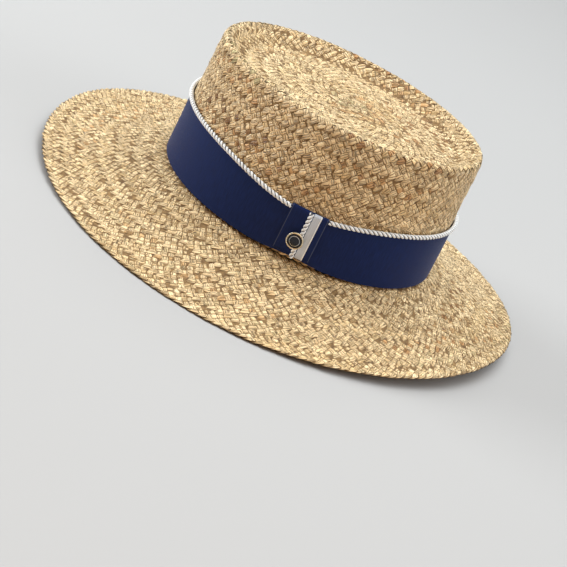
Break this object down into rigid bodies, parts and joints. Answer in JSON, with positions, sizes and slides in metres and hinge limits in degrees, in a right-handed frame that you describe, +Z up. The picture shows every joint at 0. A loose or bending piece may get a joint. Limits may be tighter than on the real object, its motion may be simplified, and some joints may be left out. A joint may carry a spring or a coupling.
{
  "type": "straw boater hat",
  "caption": "Oval straw boater with a sunken crown tip, a drooping braided brim, a ribbon band edged with twisted cord, and a side tab with a stud button.",
  "frame": {"origin": "middle of the brim's plan, on the surface that the brim's lowest edges rest on", "axes": "+Z up through the crown, -Y to the hat's front, +X to the wearer's left, where the tab is"},
  "size_m": [0.329, 0.361, 0.1186],
  "materials": {
    "straw": "natural raffia braid, matt with a slight sheen",
    "ribbon": "navy satin-faced ribbon",
    "cord": "white twisted cord with a silky sheen",
    "tape": "pale grey woven tape",
    "stud_metal": "polished pale brass",
    "enamel": "glossy black enamel"
  },
  "bodies": {
    "root": {"crown": "straw", "brim": "straw", "ribbon_band": "ribbon", "trim_cord": "cord", "tab_wrap": "ribbon", "tab_tape": "tape", "tab_cord_upper": "cord", "tab_cord_lower": "cord", "button_stud": "stud_metal", "button_face": "enamel"}
  },
  "joints": []
}
